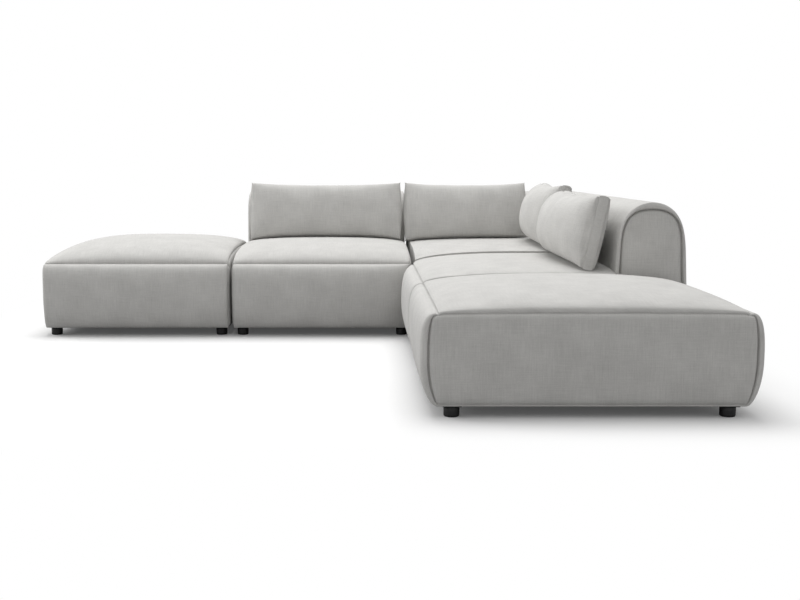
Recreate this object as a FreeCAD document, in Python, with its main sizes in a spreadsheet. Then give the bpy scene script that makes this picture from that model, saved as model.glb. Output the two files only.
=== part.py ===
import FreeCAD, Part
import os
import re

from types import SimpleNamespace
from FreeCAD import Placement, Rotation, Vector

# Modular corner sofa in millimetres. Two rows of upholstered modules meet at a corner seat.
# The left row runs along X and faces -Y, the right row runs along Y and faces -X.
# Z points up, the floor is Z = 0 and the origin lies under the middle of the whole sofa.

# Driving sizes: word, value, meaning
SIZES = (
    ("seat_width", 850, "armless seat, from joint to joint"),
    ("pouf_width", 880, "pouf, from joint to free side"),
    ("module_depth", 980, "front seam to rear seam"),
    ("module_gap", 4, "air between two modules pushed together"),
    ("foot_height", 38, "floor to upholstery"),
    ("foot_diameter", 52, "foot, at the floor"),
    ("foot_inset_side", 50, "foot axis from the module's side"),
    ("foot_inset_front", 47, "foot axis from the front or rear seam line"),
    ("foot_plate_size", 60, "square mounting plate over a foot"),
    ("foot_plate_thickness", 3, "mounting plate"),
    ("seam_height", 338, "front top seam above the floor"),
    ("front_bulge", 62, "front and rear swell in the middle of a module"),
    ("end_bulge", 36, "front and rear swell at a free or joined end"),
    ("corner_bulge", 8, "front swell where the two rows meet"),
    ("corner_knee", 48, "from there along the row"),
    ("corner_knee_bulge", 36, "front swell at that place"),
    ("corner_run", 150, "further along the row"),
    ("corner_run_bulge", 56, "front swell at that place"),
    ("corner_fall", 300, "top of the corner seat falls over this run towards the inner corner"),
    ("flat_bow", 1, "bow of a face that is all but flat"),
    ("shoulder", 34, "rounding between front and top"),
    ("pouf_left_crown", 104, "top of the left pouf above its seam"),
    ("seat_left_crown", 87, "top of the left seat above its seam"),
    ("corner_crown", 79, "top of the corner seat above its seam"),
    ("seat_right_crown", 56, "top of the right seat above its seam"),
    ("pouf_right_crown", 60, "top of the right pouf above its seam"),
    ("joined_edge_rise", 46, "side edge of a top beside another module, above the seam"),
    ("free_edge_rise", 5, "side edge of a top at a free end, above the seam"),
    ("side_crown", 10, "swell of a set-in side panel"),
    ("rim_width", 9, "edge of the band round a side panel"),
    ("groove_width", 4, "seam groove round a side panel"),
    ("groove_depth", 7, "depth of that groove"),
    ("panel_roll", 22, "sloping border of a side panel"),
    ("side_pad", 30, "padding between joint plane and frame"),
    ("end_pad", 35, "padding between front seam line and frame"),
    ("top_pad", 20, "padding between seam height and foam"),
    ("dust_cover_thickness", 2, "black cloth under the frame"),
    ("rail_height", 120, "timber rails"),
    ("rail_thickness", 22, "timber rails"),
    ("bar_drop", 25, "cross bars lie lower than the rails by"),
    ("block_size", 70, "corner block"),
    ("strap_width", 60, "webbing strap"),
    ("strap_thickness", 3, "webbing strap"),
    ("strap_margin", 25, "first strap from a back post"),
    ("post_width", 45, "back post along the row"),
    ("post_depth", 45, "back post, front to rear"),
    ("back_overhang", 56, "rear face of a back beyond the rear seam line"),
    ("back_thickness", 286, "back at its base"),
    ("back_height", 654, "top of a back above the floor"),
    ("back_shoulder_height", 597, "where the top of a back starts to round"),
    ("back_front_lean", 33, "front face leans to the rear by"),
    ("back_rear_lean", 40, "rear face leans to the front by"),
    ("back_front_bow", 13, "front face of a back bows forward by"),
    ("back_rear_bow", 8, "rear face of a back bows to the rear by"),
    ("back_end_crown", 5, "swell of a back's end panel"),
    ("back_rail_height", 60, "rails between the back posts"),
    ("back_rail_rise", 90, "lower back rail above the seam height"),
    ("back_tuck", 28, "back reaches below the seam height by"),
    ("back_pad", 50, "padding in front of and behind the back foam"),
    ("back_top_pad", 84, "padding over the back foam"),
    ("back_rim_width", 15, "edge of the band round a back's end panel"),
    ("seat_cushion_width", 777, "loose cushion of an armless seat"),
    ("rear_cushion_width", 625, "loose cushion on the rear back of the corner"),
    ("side_cushion_width", 595, "loose cushion on the side back of the corner"),
    ("cushion_height", 270, "seam to seam, in the middle"),
    ("cushion_border", 55, "side strip of a loose cushion"),
    ("cushion_front_fill", 62, "front of a cushion swells by"),
    ("cushion_rear_fill", 38, "rear of a cushion swells by"),
    ("seam_proud", 3, "long seams stand out beyond the ends of the side strip by"),
    ("cushion_ear", 24, "top corners stand up by"),
    ("cushion_sag", 0.4, "bottom corners hang down by this share of the seat's fall"),
    ("cushion_lean", 12, "lean of a cushion, in degrees"),
    ("cushion_wall", 14, "cover and wadding over a filling"),
    ("cushion_back_air", 2, "air between a cushion and a back"),
    ("cushion_seat_air", 3.5, "air between a cushion and a seat"),
    ("rear_cushion_start", -10, "rear corner cushion from the joint plane"),
    ("side_cushion_start", -2, "side corner cushion from the joint plane"),
    ("clip_width", 60, "connector along the joint"),
    ("clip_length", 52, "connector away from the joint"),
    ("clip_plate", 3, "plate of a connector"),
    ("clip_slot", 5, "slot of a connector jaw"),
    ("clip_air", 0.5, "air above and below a tongue"),
    ("clip_side_air", 5, "tongue narrower than its jaw, each side"),
    ("clip_setback", 6, "connector from the joint plane"),
    ("tongue_reach", 38, "tongue past the joint plane"),
    ("clip_position", 250, "connector from the front or rear seam line"),
)

CROSS_BARS = 3
STRAPS = 5
# Places along a cushion at which its height above the seat is tried
TRIALS = 40

DOC = FreeCAD.newDocument("corner_sofa")
SHEET = DOC.addObject("Spreadsheet::Sheet", "sizes")
for line, (word, number, meaning) in enumerate(SIZES, start=1):
    SHEET.set(f"A{line}", meaning)
    SHEET.set(f"B{line}", str(number))
    SHEET.setAlias(f"B{line}", word)
DOC.recompute()
size = SimpleNamespace(**{word: float(SHEET.get(word)) for word, _, _ in SIZES})
NODES = []


def formula(text):
    """Expression in which every driving size is looked up in the sheet."""
    def look_up(match):
        word = match.group()
        return f"sizes.{word}" if hasattr(size, word) else word
    return re.sub(r"[a-z][a-z_]+", look_up, text)


def bind(thing, **formulas):
    """Tie properties to the sheet; double underscores in a name stand for dots."""
    for name, text in formulas.items():
        thing.setExpression(name.replace("__", "."), formula(text))
    return thing


def place(thing, x="0", y="0", z="0", turn=0):
    """Put a thing at formulas x, y, z, turned about the upright by whole degrees."""
    thing.Placement = Placement(Vector(), Rotation(Vector(0, 0, 1), turn))
    return bind(thing, Placement__Base__x=x, Placement__Base__y=y, Placement__Base__z=z)


def box(name, low, span):
    """Box from its low corner; both arguments are three formulas."""
    solid = DOC.addObject("Part::Box", name)
    bind(solid, Length=span[0], Width=span[1], Height=span[2])
    return place(solid, *low)


def cylinder(name, low, diameter, height):
    """Upright cylinder from the centre of its low end."""
    solid = DOC.addObject("Part::Cylinder", name)
    bind(solid, Radius=f"({diameter}) / 2", Height=height)
    return place(solid, *low)


def fused(name, parts):
    """One solid of touching parts."""
    whole = DOC.addObject("Part::MultiFuse", name)
    whole.Shapes = parts
    return whole


def grouped(name, parts):
    """Separate solids kept together."""
    whole = DOC.addObject("Part::Compound", name)
    whole.Links = parts
    return whole


def cut(name, base, tool):
    """Base without the tool."""
    rest = DOC.addObject("Part::Cut", name)
    rest.Base = base
    rest.Tool = tool
    return rest


def shaped(name, shape):
    """Free-form solid made from sections."""
    solid = DOC.addObject("Part::Feature", name)
    solid.Shape = shape
    return solid


def node(thing, label):
    """Mark a thing as a finished piece of the sofa."""
    thing.Label = label
    NODES.append(thing)
    return thing


# Outlines of arcs and lines

def part_of_arc(arc, head, tail):
    """The arc without a length at its head and at its tail."""
    first = arc.parameterAtDistance(head, arc.FirstParameter)
    last = arc.parameterAtDistance(arc.length() - tail, arc.FirstParameter)
    return Part.Arc(arc.value(first), arc.value((first + last) / 2), arc.value(last))


def shoulder_arc(before, corner, after):
    """Rounding from one arc's end to the next one's start, near their shared corner."""
    start = before.value(before.LastParameter)
    end = after.value(after.FirstParameter)
    chord_middle = (start + end) * 0.5
    closeness = (end - start).Length / ((corner - start).Length + (corner - end).Length)
    return Part.Arc(start, chord_middle + (corner - chord_middle) * (closeness / (1 + closeness)), end)


def closed_outline(points, rounding=0.0):
    """Front arc, top arc and rear arc through seven points, closed by a straight bottom."""
    low_front, front, top_front, top, top_rear, rear, low_rear = points
    arcs = [Part.Arc(low_front, front, top_front),
            Part.Arc(top_front, top, top_rear),
            Part.Arc(top_rear, rear, low_rear)]
    if rounding:
        front_arc = part_of_arc(arcs[0], 0, rounding)
        top_arc = part_of_arc(arcs[1], rounding, rounding)
        rear_arc = part_of_arc(arcs[2], rounding, 0)
        arcs = [front_arc, shoulder_arc(front_arc, top_front, top_arc), top_arc,
                shoulder_arc(top_arc, top_rear, rear_arc), rear_arc]
    edges = [arc.toShape() for arc in arcs]
    edges.append(Part.makeLine(low_rear, low_front))
    return Part.Wire(edges)


def prism(outline, depth):
    """Straight solid from an outline across X."""
    return Part.Face(outline).extrude(Vector(depth, 0, 0))


def swapped(shape):
    """Mirror image across the upright plane through X = Y."""
    return shape.mirror(Vector(0, 0, 0), Vector(1, -1, 0))


def arc_edge(start, middle, end):
    """Arc through three points."""
    return Part.Arc(start, middle, end).toShape()


# Seats

class Base:
    """Upholstered base of a module; its own X runs along the row and its own Y to the rear."""

    def __init__(self, name, width, crown, low_rise, high_rise, corner_end=None, square=False):
        self.name = name
        self.width = width
        self.across = getattr(size, width)
        self.crown = getattr(size, crown)
        self.low_rise = getattr(size, low_rise)
        self.high_rise = getattr(size, high_rise)
        self.corner_end = corner_end
        self.square = square
        self.low_end = size.module_gap / 2 + size.side_crown
        self.high_end = self.across - self.low_end

    def depth_points(self, x, inset=0.0):
        """The seven points of the section across the row."""
        front = inset
        front_swell = size.front_bulge
        rear = size.module_depth - inset
        low = size.foot_height + inset
        seam = size.seam_height - inset
        front_seam = seam
        if self.square:
            front += self.low_end
            front_swell = size.flat_bow
            front_seam += self.low_rise
        middle = (low + seam) / 2
        return [Vector(x, front, low), Vector(x, front - front_swell, middle),
                Vector(x, front, front_seam),
                Vector(x, (front + rear) / 2, seam + self.crown),
                Vector(x, rear, seam), Vector(x, rear + size.front_bulge, middle),
                Vector(x, rear, low)]

    def outline(self, x, inset=0.0):
        """Section across the row: swollen front and rear, crowned top."""
        return closed_outline(self.depth_points(x, inset), size.shoulder)

    def end_outline(self, x, inset):
        """Flat end of the module, where front, top and rear are drawn in."""
        points = self.depth_points(x, inset)
        seam = size.seam_height - inset
        rise = self.low_rise if x < self.across / 2 else self.high_rise
        swell = size.end_bulge
        front_swell = size.corner_bulge if self.corner_end == self.end_at(x) else swell
        if self.square:
            front_swell = size.flat_bow
        points[1].y = points[0].y - front_swell
        points[3].z = seam + max(rise, size.flat_bow)
        points[5].y = points[4].y + swell
        return closed_outline(points, size.shoulder)

    def end_at(self, x):
        """Which end of the module a place belongs to."""
        return "low" if x < self.across / 2 else "high"

    def form(self, overrun=0.0):
        """Common form of three straight prisms: section, front view and plan."""
        first = self.low_end - overrun
        last = self.high_end + overrun
        if self.square:
            last = self.across + 2 * size.front_bulge
        section = prism(self.outline(first), last - first)
        if self.square:
            seat = section.common(swapped(section)).common(self.inner_corner_fall())
            if overrun > 0:
                side = prism(self.end_outline(first, 0.0), overrun + size.side_crown)
                seat = seat.fuse([side, swapped(side)])
            return seat
        return section.common(self.front_view(first, last)).common(self.plan(first, last))

    def front_view(self, first, last):
        """Prism along the depth: upright ends and a top that rises to the crown."""
        reach = 2 * size.front_bulge
        low = size.foot_height
        low_top = Vector(first, -reach, size.seam_height + self.low_rise)
        high_top = Vector(last, -reach, size.seam_height + self.high_rise)
        crown = Vector(self.across / 2, -reach, size.seam_height + self.crown + size.flat_bow)
        low_foot = Vector(first, -reach, low)
        high_foot = Vector(last, -reach, low)
        outline = Part.Wire([Part.makeLine(low_foot, low_top), arc_edge(low_top, crown, high_top),
                             Part.makeLine(high_top, high_foot), Part.makeLine(high_foot, low_foot)])
        return Part.Face(outline).extrude(Vector(0, size.module_depth + 2 * reach, 0))

    def plan(self, first, last):
        """Upright prism: front and rear swell, less at the ends and least at the inner corner."""
        full = -size.front_bulge - size.flat_bow
        end = -size.end_bulge
        rear = size.module_depth
        floor = size.foot_height
        front = [Vector(first, end, floor), Vector(self.across / 2, full, floor),
                 Vector(last, end, floor)]
        edges = []
        if self.corner_end:
            side = 1 if self.corner_end == "high" else -1
            corner_x = last if side == 1 else first
            start = Vector(corner_x - side * size.corner_run, -size.corner_run_bulge, floor)
            knee = Vector(corner_x - side * size.corner_knee, -size.corner_knee_bulge, floor)
            tip = Vector(corner_x, -size.corner_bulge, floor)
            if side == 1:
                edges = [arc_edge(front[0], front[1], start), arc_edge(start, knee, tip)]
                front = [front[0], front[1], tip]
            else:
                edges = [arc_edge(tip, knee, start), arc_edge(start, front[1], front[2])]
                front = [tip, front[1], front[2]]
        else:
            edges = [arc_edge(*front)]
        rear_low = Vector(first, rear - end, floor)
        rear_high = Vector(last, rear - end, floor)
        rear_middle = Vector(self.across / 2, rear - full, floor)
        edges += [Part.makeLine(front[2], rear_high), arc_edge(rear_high, rear_middle, rear_low),
                  Part.makeLine(rear_low, front[0])]
        return Part.Face(Part.Wire(edges)).extrude(Vector(0, 0, 2 * size.seam_height))

    def inner_corner_fall(self):
        """Upright form whose top falls towards the inner corner of the sofa."""
        reach = 2 * size.module_depth
        seam = size.seam_height
        high = seam + self.crown + size.flat_bow
        low = size.foot_height
        corners = [Vector(0, -reach, low), Vector(0, -reach, seam),
                   Vector(size.corner_fall, -reach, high), Vector(reach, -reach, high),
                   Vector(reach, -reach, low), Vector(0, -reach, low)]
        form = Part.Face(Part.makePolygon(corners)).extrude(Vector(0, 2 * reach, 0))
        form.rotate(Vector(0, 0, 0), Vector(0, 0, 1), 45)
        return form

    def body(self):
        """Outer form of the cover as one closed solid, side panels included."""
        panels = set_in_panel(self.form(), self.end_outline, self.low_end, -1,
                              size.rim_width, size.side_crown)
        if self.square:
            return set_in_panel(panels, self.end_outline, self.low_end, -1,
                                size.rim_width, size.side_crown, True)
        return set_in_panel(panels, self.end_outline, self.high_end, 1,
                            size.rim_width, size.side_crown)


def set_in_panel(form, outline, x, side, rim, crown, on_front=False):
    """Sew a slightly swollen panel into the flat end of a form, inside a seam groove."""
    inner = rim + size.groove_width
    groove = prism(outline(x, rim), -side * size.groove_depth)
    groove = groove.cut(prism(outline(x, inner), -side * size.groove_depth))
    sections = [outline(x, inner), outline(x, inner + size.panel_roll)]
    sections[1].translate(Vector(side * crown, 0, 0))
    panel = Part.makeLoft(sections, True, True)
    if on_front:
        groove = swapped(groove)
        panel = swapped(panel)
    return form.cut(groove).fuse(panel)


# Backs

def back_front():
    """Front face of a back at its base, from the front seam line."""
    return size.module_depth + size.back_overhang - size.back_thickness


def back_outline(x, inset=0.0):
    """Section across a back: straight base, leaning faces and an arched top."""
    front = back_front() + inset
    rear = size.module_depth + size.back_overhang - inset
    low = size.seam_height - size.back_tuck
    shoulder = size.back_shoulder_height
    top_front = front + size.back_front_lean
    top_rear = rear - size.back_rear_lean
    half = (low + shoulder) / 2
    points = [Vector(x, front, low),
              Vector(x, (front + top_front) / 2 - size.back_front_bow, half),
              Vector(x, top_front, shoulder),
              Vector(x, (top_front + top_rear) / 2, size.back_height - inset),
              Vector(x, top_rear, shoulder),
              Vector(x, (rear + top_rear) / 2 + size.back_rear_bow, half),
              Vector(x, rear, low)]
    return closed_outline(points)


def back_body(base):
    """Outer form of a back; in the corner it runs on to the mitre between the two backs."""
    first = base.low_end
    last = base.high_end
    if base.square:
        last = base.across + 2 * size.back_overhang
    form = prism(back_outline(first), last - first)
    form = set_in_panel(form, back_outline, first, -1, size.back_rim_width, size.back_end_crown)
    if base.square:
        return form.common(mitre_wedge())
    return set_in_panel(form, back_outline, last, 1, size.back_rim_width, size.back_end_crown)


def mitre_wedge():
    """Everything to the rear of the upright plane through X = Y."""
    reach = 2 * size.module_depth
    corners = [Vector(0, 0, 0), Vector(reach, reach, 0), Vector(0, reach, 0), Vector(0, 0, 0)]
    return Part.Face(Part.makePolygon(corners)).extrude(Vector(0, 0, 2 * size.back_height))


# Loose back cushions

class Cushion:
    """Boxed cushion; its own X runs along it, Y to the rear and Z up its leaning height."""

    def __init__(self, name, width, low_drop, high_drop):
        self.name = name
        self.across = getattr(size, width)
        self.low_drop = low_drop
        self.high_drop = high_drop

    def drop(self, share):
        """How far the lower edge hangs at a share of the width."""
        fall = self.low_drop if share < 0.5 else self.high_drop
        return fall * (2 * share - 1) ** 2

    def form(self, inset=0.0):
        """Common form of three straight prisms: section, front view and plan."""
        first = inset
        last = self.across - inset
        low = inset
        high = size.cushion_height - inset
        front = inset
        rear = size.cushion_border - inset
        lowest = low - max(self.low_drop, self.high_drop) - size.flat_bow
        highest = high + size.cushion_ear + size.flat_bow
        middle = (lowest + highest) / 2
        fill = size.cushion_front_fill
        margin = size.cushion_border
        strip_front = front - size.seam_proud
        strip_rear = rear + size.seam_proud
        section = Part.Wire([
            arc_edge(Vector(first, strip_front, lowest), Vector(first, front - fill, middle),
                     Vector(first, strip_front, highest)),
            Part.makeLine(Vector(first, strip_front, highest), Vector(first, strip_rear, highest)),
            arc_edge(Vector(first, strip_rear, highest),
                     Vector(first, rear + size.cushion_rear_fill, middle),
                     Vector(first, strip_rear, lowest)),
            Part.makeLine(Vector(first, strip_rear, lowest), Vector(first, strip_front, lowest))])
        half = self.across / 2
        plan = Part.Wire([
            arc_edge(Vector(first, front, lowest),
                     Vector(half, front - fill - size.seam_proud, lowest),
                     Vector(last, front, lowest)),
            Part.makeLine(Vector(last, front, lowest), Vector(last, rear, lowest)),
            arc_edge(Vector(last, rear, lowest),
                     Vector(half, rear + size.cushion_rear_fill + size.seam_proud, lowest),
                     Vector(first, rear, lowest)),
            Part.makeLine(Vector(first, rear, lowest), Vector(first, front, lowest))])
        across = Part.Face(section).extrude(Vector(last - first + 2 * margin, 0, 0))
        across.translate(Vector(-margin, 0, 0))
        upright = Part.Face(plan).extrude(Vector(0, 0, highest - lowest + 2 * margin))
        upright.translate(Vector(0, 0, -margin))
        return upright.common(self.front_view(first, last, low, high)).common(across)

    def front_view(self, first, last, low, high):
        """Prism along the depth: top with raised corners, bottom that hangs at its corners."""
        nearest = -2 * size.cushion_front_fill
        half = self.across / 2
        low_corner = Vector(first, nearest, low - self.low_drop)
        high_corner = Vector(last, nearest, low - self.high_drop)
        low_ear = Vector(first, nearest, high + size.cushion_ear)
        high_ear = Vector(last, nearest, high + size.cushion_ear)
        bottom = (low_corner.z + high_corner.z) / 2 + size.flat_bow
        bottom = max(bottom, low)
        outline = Part.Wire([
            Part.makeLine(low_corner, low_ear),
            arc_edge(low_ear, Vector(half, nearest, high), high_ear),
            Part.makeLine(high_ear, high_corner),
            arc_edge(high_corner, Vector(half, nearest, bottom), low_corner)])
        return Part.Face(outline).extrude(Vector(0, size.cushion_border - 4 * nearest, 0))

    def front_seam(self):
        """Lower front seam from the front seam line, so that the rear just clears the back."""
        lean = Rotation(Vector(1, 0, 0), -size.cushion_lean)
        rear_point = Vector(0, size.cushion_border + size.cushion_rear_fill, size.cushion_height / 2)
        reach = lean.multVec(rear_point).y
        return back_front() - size.cushion_back_air - reach

    def seat_level(self, base, start, along_depth):
        """Height of the lower front seam, so that the cushion just clears the seat below it."""
        lean = Rotation(Vector(1, 0, 0), -size.cushion_lean)
        rear_seam = lean.multVec(Vector(0, size.cushion_border, 0))
        depth = self.front_seam() + rear_seam.y
        level = 0.0
        for trial in range(TRIALS + 1):
            share = trial / TRIALS
            along = start + self.across * share
            if along_depth:
                surface = top_height(base, depth, along)
                hang = self.drop(1 - share)
            else:
                surface = top_height(base, along, depth)
                hang = self.drop(share)
            level = max(level, surface + hang)
        return level - rear_seam.z + size.cushion_seat_air


def top_height(base, x, y):
    """Height of a seat's crown at a place on it; nothing beyond its edges."""
    if not base.low_end <= x <= base.across or not 0 <= y <= size.module_depth:
        return 0.0
    low, middle, high = base.depth_points(0)[2:5]
    in_depth = height_on_arc(low, middle, high, y)
    if base.square:
        return min(in_depth, height_on_arc(low, middle, high, x))
    ends = (Vector(0, base.low_end, size.seam_height + base.low_rise),
            Vector(0, base.across / 2, size.seam_height + base.crown + size.flat_bow),
            Vector(0, base.high_end, size.seam_height + base.high_rise))
    return min(in_depth, height_on_arc(*ends, x))


def height_on_arc(low, middle, high, place_on_arc):
    """Height of an upward arc through three points."""
    circle = Part.Arc(low, middle, high).toShape().Curve
    across = place_on_arc - circle.Center.y
    return circle.Center.z + (circle.Radius ** 2 - across ** 2) ** 0.5


# Pieces of a module

FRAME_LOW = "foot_height + dust_cover_thickness"
FRAME_TOP = f"{FRAME_LOW} + rail_height"
FOAM_LOW = f"{FRAME_TOP} + strap_thickness"
INNER_DEPTH = "module_depth - 2 * end_pad"
POST_FRONT = "module_depth - end_pad - rail_thickness - post_depth"
BACK_INNER_FRONT = "module_depth + back_overhang - back_thickness + back_pad"
BACK_INNER_REAR = "module_depth + back_overhang - back_pad"
BACK_INNER_LOW = "seam_height - back_tuck"
BACK_INNER_TOP = "back_height - back_top_pad"
SHIFT = "(seat_width + pouf_width - module_gap / 2 - module_depth - front_bulge) / 2"


class Module:
    """One module: where it stands, how it is turned and what it is made of."""

    def __init__(self, base, x, y, turn, back=False):
        self.base = base
        self.name = base.name
        self.x = f"{x} + {SHIFT}"
        self.y = f"{y} + {SHIFT}"
        self.turn = turn
        self.back = back
        self.low_x = "side_pad"
        self.high_x = f"{base.width} - end_pad" if base.square else f"{base.width} - side_pad"
        self.inner_width = f"{self.high_x} - side_pad"
        self.right_foot = f"{base.width} - foot_inset_side"
        if base.square:
            self.right_foot = f"{base.width} - foot_inset_front"

    def keep(self, thing, piece):
        """Move a finished piece to the module's place and name it."""
        place(thing, self.x, self.y, "0", self.turn)
        return node(thing, f"{self.name}_{piece}")

    def foot_places(self):
        """The four foot axes."""
        front = "foot_inset_front"
        rear = "module_depth - foot_inset_front"
        return [(x, y) for x in ("foot_inset_side", self.right_foot) for y in (front, rear)]

    def add_feet(self):
        """Round feet under square mounting plates."""
        feet = []
        plates = []
        for number, (x, y) in enumerate(self.foot_places()):
            feet.append(cylinder(f"{self.name}_foot_{number}", (x, y, "0"), "foot_diameter",
                                 "foot_height - foot_plate_thickness"))
            corner = (f"{x} - foot_plate_size / 2", f"{y} - foot_plate_size / 2",
                      "foot_height - foot_plate_thickness")
            plates.append(box(f"{self.name}_plate_{number}", corner,
                              ("foot_plate_size", "foot_plate_size", "foot_plate_thickness")))
        self.keep(grouped(f"{self.name}_foot_group", feet), "feet")
        self.keep(grouped(f"{self.name}_plate_group", plates), "foot_plates")

    def add_dust_cover(self):
        """Black cloth that closes the cover from below."""
        sheet = box(f"{self.name}_dust_sheet", (self.low_x, "end_pad", "foot_height"),
                    (self.inner_width, INNER_DEPTH, "dust_cover_thickness"))
        self.keep(grouped(f"{self.name}_dust_group", [sheet]), "dust_cover")

    def add_frame(self):
        """Corner blocks, rails between them and cross bars, glued into one frame."""
        name = self.name
        parts = []
        right_block = f"{self.high_x} - block_size"
        rear_block = "module_depth - end_pad - block_size"
        for number, (x, y) in enumerate(((self.low_x, "end_pad"), (right_block, "end_pad"),
                                         (self.low_x, rear_block), (right_block, rear_block))):
            parts.append(box(f"{name}_block_{number}", (x, y, FRAME_LOW),
                             ("block_size", "block_size", "rail_height")))
        long_rail = (f"{self.inner_width} - 2 * block_size", "rail_thickness", "rail_height")
        for number, y in enumerate(("end_pad", "module_depth - end_pad - rail_thickness")):
            parts.append(box(f"{name}_long_rail_{number}",
                             (f"{self.low_x} + block_size", y, FRAME_LOW), long_rail))
        side_rail = ("rail_thickness", f"{INNER_DEPTH} - 2 * block_size", "rail_height")
        for number, x in enumerate((self.low_x, f"{self.high_x} - rail_thickness")):
            parts.append(box(f"{name}_side_rail_{number}",
                             (x, "end_pad + block_size", FRAME_LOW), side_rail))
        bar = ("rail_thickness", f"{INNER_DEPTH} - 2 * rail_thickness", "rail_height - bar_drop")
        for number in range(1, CROSS_BARS + 1):
            free = f"({self.inner_width} - 2 * block_size) * {number} / {CROSS_BARS + 1}"
            parts.append(box(f"{name}_bar_{number}",
                             (f"{self.low_x} + block_size + {free} - rail_thickness / 2",
                              "end_pad + rail_thickness", FRAME_LOW), bar))
        self.keep(fused(f"{name}_timber", parts), "frame")

    def add_webbing(self):
        """Elastic straps from the front rail to the rear rail."""
        margin = "block_size + post_width + strap_margin"
        first = f"{self.low_x} + {margin}"
        free = f"({self.inner_width} - 2 * ({margin}) - strap_width)"
        straps = [box(f"{self.name}_strap_{number}",
                      (f"{first} + {free} * {number} / {STRAPS - 1}", "end_pad", FRAME_TOP),
                      ("strap_width", INNER_DEPTH, "strap_thickness"))
                  for number in range(STRAPS)]
        self.keep(grouped(f"{self.name}_strap_group", straps), "webbing")

    def add_soft_base(self, posts):
        """Foam block and padded cover, with slots for back posts that pass through."""
        name = self.name
        block = box(f"{name}_foam_block", (self.low_x, "end_pad", FOAM_LOW),
                    (self.inner_width, INNER_DEPTH, f"seam_height - top_pad - ({FOAM_LOW})"))
        foam = grouped(f"{name}_foam_group", [block])
        hollow = box(f"{name}_hollow", (self.low_x, "end_pad", "foot_height"),
                     (self.inner_width, INNER_DEPTH, "seam_height - top_pad - foot_height"))
        body = shaped(f"{name}_body", self.base.body())
        if posts:
            slots = fused(f"{name}_post_slots", posts)
            foam = cut(f"{name}_foam_cut", block, slots)
            hollow = fused(f"{name}_hollow_and_slots", [hollow, slots])
        self.keep(foam, "foam")
        self.keep(cut(f"{name}_cover_cut", body, hollow), "cover")

    def back_posts(self):
        """Upright posts of the back, standing against the rear rail."""
        height = f"{BACK_INNER_TOP} - ({FRAME_LOW})"
        span = ("post_width", "post_depth", height)
        left = f"{self.low_x} + block_size"
        posts = [box(f"{self.name}_post_left", (left, POST_FRONT, FRAME_LOW), span)]
        if self.base.square:
            side_span = ("post_depth", "post_width", height)
            corner_span = ("post_depth", "post_depth", f"{BACK_INNER_TOP} - ({FRAME_TOP})")
            posts.append(box(f"{self.name}_post_side", (POST_FRONT, "end_pad + block_size", FRAME_LOW),
                             side_span))
            posts.append(box(f"{self.name}_post_corner", (POST_FRONT, POST_FRONT, FRAME_TOP),
                             corner_span))
        else:
            right = f"{self.high_x} - block_size - post_width"
            posts.append(box(f"{self.name}_post_right", (right, POST_FRONT, FRAME_LOW), span))
        return posts

    def back_rails(self):
        """Two rails between each pair of posts."""
        rails = []
        start = f"{self.low_x} + block_size + post_width"
        rail_front = f"{POST_FRONT} + post_depth - rail_thickness"
        if self.base.square:
            length = f"{POST_FRONT} - ({start})"
        else:
            length = f"{self.inner_width} - 2 * (block_size + post_width)"
        levels = (f"{BACK_INNER_TOP} - back_rail_height", "seam_height + back_rail_rise")
        for number, level in enumerate(levels):
            rails.append(box(f"{self.name}_back_rail_{number}", (start, rail_front, level),
                             (length, "rail_thickness", "back_rail_height")))
            if self.base.square:
                side_start = "end_pad + block_size + post_width"
                rails.append(box(f"{self.name}_side_rail_back_{number}", (rail_front, side_start, level),
                                 ("rail_thickness", f"{POST_FRONT} - ({side_start})",
                                  "back_rail_height")))
        return rails

    def back_layers(self, name, front, rear, side_start):
        """Space between two depths of a back; in the corner it turns along the side back."""
        high = rear if self.base.square else self.high_x
        height = f"{BACK_INNER_TOP} - ({BACK_INNER_LOW})"
        layer = [box(f"{name}_along", (self.low_x, front, BACK_INNER_LOW),
                     (f"{high} - side_pad", f"{rear} - ({front})", height))]
        if self.base.square:
            layer.append(box(f"{name}_side", (front, side_start, BACK_INNER_LOW),
                             (f"{rear} - ({front})", f"{front} - ({side_start})", height)))
        return layer

    def add_back(self, posts):
        """Back frame, back foam and padded back covers, all shaped to sit on the base."""
        name = self.name
        seat = shaped(f"{name}_seat_form", self.base.form(2 * size.side_crown))
        self.keep(fused(f"{name}_back_timber", posts + self.back_rails()), "back_frame")
        foam = self.back_layers(f"{name}_front_foam", BACK_INNER_FRONT, POST_FRONT, "side_pad")
        foam += self.back_layers(f"{name}_rear_foam", f"{POST_FRONT} + post_depth",
                                 BACK_INNER_REAR, "side_pad")
        slabs = grouped(f"{name}_foam_slabs", foam)
        if self.base.square:
            slabs = fused(f"{name}_foam_angles", foam)
        self.keep(cut(f"{name}_back_foam_cut", slabs, seat), "back_foam")
        layers = self.back_layers(f"{name}_back_hollow", BACK_INNER_FRONT, BACK_INNER_REAR, "side_pad")
        hollow = fused(f"{name}_back_hollow", layers) if self.base.square else layers[0]
        rear_form = back_body(self.base)
        forms = [("rear_back_cover" if self.base.square else "back_cover", rear_form)]
        if self.base.square:
            forms.append(("side_back_cover", swapped(rear_form)))
        for piece, form in forms:
            seated = cut(f"{name}_{piece}_seated", shaped(f"{name}_{piece}_form", form), seat)
            self.keep(cut(f"{name}_{piece}_cut", seated, hollow), piece)

    def build(self):
        """All pieces of the module."""
        self.add_frame()
        self.add_webbing()
        self.add_dust_cover()
        self.add_feet()
        posts = self.back_posts() if self.back else []
        self.add_soft_base(posts)
        if self.back:
            self.add_back(posts)


# Clip connectors

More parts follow.
